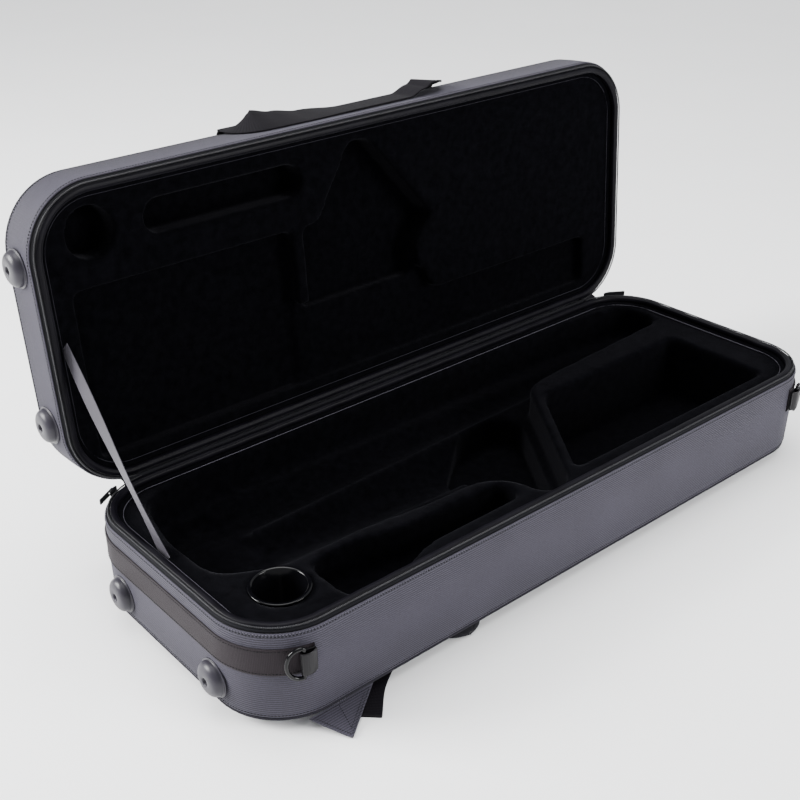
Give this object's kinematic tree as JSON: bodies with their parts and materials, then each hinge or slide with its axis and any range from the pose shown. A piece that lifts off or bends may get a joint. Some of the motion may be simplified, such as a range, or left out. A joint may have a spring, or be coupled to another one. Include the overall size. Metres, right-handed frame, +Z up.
{
  "type": "tenor saxophone case",
  "caption": "Zipped fabric-covered tenor saxophone case, open, with fitted plush inserts, lid handle, end rings and stowed shoulder straps.",
  "frame": {"origin": "on the floor, under the middle of the open case: the centre of the bottom face of its bounding box", "axes": "+X right along the case, -Y the front with the opening side of the lid, +Z up"},
  "size_m": [0.8943, 0.4635, 0.4673],
  "materials": {
    "nylon": "ribbed woven nylon, charcoal",
    "board": "rigid board, hidden",
    "binding": "woven binding over a cord",
    "vinyl": "soft black vinyl with a satin shine",
    "zip_cloth": "fine woven tape",
    "zip_nylon": "nylon coil teeth",
    "plush": "short black plush",
    "gloss_plastic": "glossy black moulding",
    "foot_plastic": "semi-gloss moulding",
    "band_cloth": "woven webbing, purple-brown",
    "webbing": "woven webbing",
    "slider_metal": "black lacquered die casting",
    "pad_cloth": "padded nylon",
    "ribbon_cloth": "satin ribbon"
  },
  "bodies": {
    "base": {"base_cover": "nylon", "base_shell": "board", "base_piping": "binding", "base_lip": "vinyl", "base_zip_tape": "zip_cloth", "base_zip_coil": "zip_nylon", "base_insert": "plush", "mouthpiece_cup": "gloss_plastic", "base_end_foot_front": "foot_plastic", "base_end_foot_back": "foot_plastic", "base_spine_foot_left": "foot_plastic", "base_spine_foot_right": "foot_plastic", "base_bottom_foot_front_left": "foot_plastic", "base_bottom_foot_back_left": "foot_plastic", "base_bottom_foot_front_right": "foot_plastic", "base_bottom_foot_back_right": "foot_plastic", "end_band_left": "band_cloth", "end_band_right": "band_cloth", "ring_tab_left": "webbing", "ring_tab_right": "webbing", "strap_wing_front": "nylon", "strap_wing_back": "nylon", "strap_webbing_front": "webbing", "strap_webbing_back": "webbing", "shoulder_strap_front": "pad_cloth", "shoulder_strap_back": "pad_cloth", "strap_patch": "nylon", "hinge_tape": "nylon", "stay_ribbon": "ribbon_cloth"},
    "lid": {"lid_cover": "nylon", "lid_shell": "board", "lid_piping": "binding", "lid_lip": "vinyl", "lid_zip_tape": "zip_cloth", "lid_zip_coil": "zip_nylon", "lid_insert": "plush", "lid_end_foot_front": "foot_plastic", "lid_end_foot_back": "foot_plastic", "lid_spine_foot_left": "foot_plastic", "lid_spine_foot_right": "foot_plastic", "lid_handle_anchor_left": "webbing", "lid_handle_anchor_right": "webbing"},
    "lid_handle": {"lid_handle_strap": "webbing"},
    "left_ring": {"d_ring_left": "gloss_plastic"},
    "right_ring": {"d_ring_right": "gloss_plastic"},
    "left_slider": {"zip_slider_left": "slider_metal"},
    "right_slider": {"zip_slider_right": "slider_metal"},
    "left_pull": {"zip_pull_left": "slider_metal"},
    "right_pull": {"zip_pull_right": "slider_metal"}
  },
  "joints": [
    {"name": "lid_hinge", "type": "hinge", "parent": "base", "child": "lid", "pos_m": [0, 0.13685, 0.12036], "axis": [1, 0, 0], "range_deg": [0, 94.4], "deforming": ["hinge_tape", "stay_ribbon"]},
    {"name": "lid_handle_swing", "type": "hinge", "parent": "lid", "child": "lid_handle", "pos_m": [-0.013, 0.22667, 0.45029], "axis": [-1, 0, 0], "range_deg": [0, 90]},
    {"name": "left_ring_swivel", "type": "hinge", "parent": "base", "child": "left_ring", "pos_m": [-0.3916, -0.19725, 0.0855], "axis": [0, 0, 1], "range_deg": [0, 150]},
    {"name": "right_ring_swivel", "type": "hinge", "parent": "base", "child": "right_ring", "pos_m": [0.3916, -0.19725, 0.0855], "axis": [0, 0, -1], "range_deg": [0, 150]},
    {"name": "left_slider_run", "type": "hinge", "parent": "base", "child": "left_slider", "pos_m": [-0.365, 0.064, 0.1228], "axis": [0, 0, 1], "range_deg": [0, 58]},
    {"name": "right_slider_run", "type": "hinge", "parent": "base", "child": "right_slider", "pos_m": [0.365, 0.064, 0.1228], "axis": [0, 0, -1], "range_deg": [0, 58]},
    {"name": "left_pull_flip", "type": "hinge", "parent": "left_slider", "child": "left_pull", "pos_m": [-0.40565, 0.12905, 0.1228], "axis": [0, 0, -1], "range_deg": [0, 115]},
    {"name": "right_pull_flip", "type": "hinge", "parent": "right_slider", "child": "right_pull", "pos_m": [0.40565, 0.12905, 0.1228], "axis": [0, 0, 1], "range_deg": [0, 115]}
  ]
}
